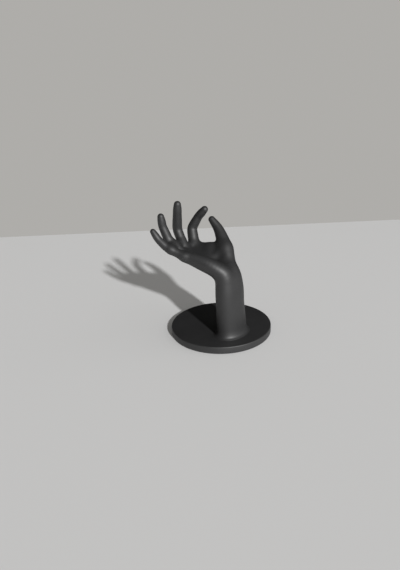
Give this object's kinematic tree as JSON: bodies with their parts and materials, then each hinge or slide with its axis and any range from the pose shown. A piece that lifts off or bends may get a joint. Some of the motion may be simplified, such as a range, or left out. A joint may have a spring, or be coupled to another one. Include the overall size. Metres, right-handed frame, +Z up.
{
  "type": "display hand",
  "caption": "Carved and black lacquered wooden hand on a round base, palm up, wrist bent back, thumb and index finger nearly closing a loop.",
  "frame": {"origin": "middle of the felt pad's underside, on the surface that the object stands on", "axes": "+Z up; the raised fingers point to -X; +Y is the index finger's side of the palm; the tallest extent is along Z"},
  "size_m": [0.1977, 0.175, 0.2303],
  "materials": {
    "black_lacquer": "satin black lacquer over carved wood",
    "dowel_wood": "bare beech",
    "steel": "zinc plated",
    "brass": "turned",
    "felt": "pressed felt"
  },
  "bodies": {
    "root": {"base_disc": "black_lacquer", "felt_pad": "felt", "weight_plate": "steel", "plate_screw_1": "steel", "plate_screw_2": "steel", "plate_screw_3": "steel", "clamp_bolt": "steel", "clamp_washer": "steel", "threaded_insert": "brass", "foot_pin_1": "dowel_wood", "foot_pin_2": "dowel_wood", "forearm": "black_lacquer", "wrist_dowel_1": "dowel_wood", "wrist_dowel_2": "dowel_wood", "palm": "black_lacquer", "thumb": "black_lacquer", "index_finger": "black_lacquer", "middle_finger": "black_lacquer", "ring_finger": "black_lacquer", "little_finger": "black_lacquer", "thumb_dowel": "dowel_wood", "index_dowel": "dowel_wood", "middle_dowel": "dowel_wood", "ring_dowel": "dowel_wood", "little_dowel": "dowel_wood"}
  },
  "joints": []
}
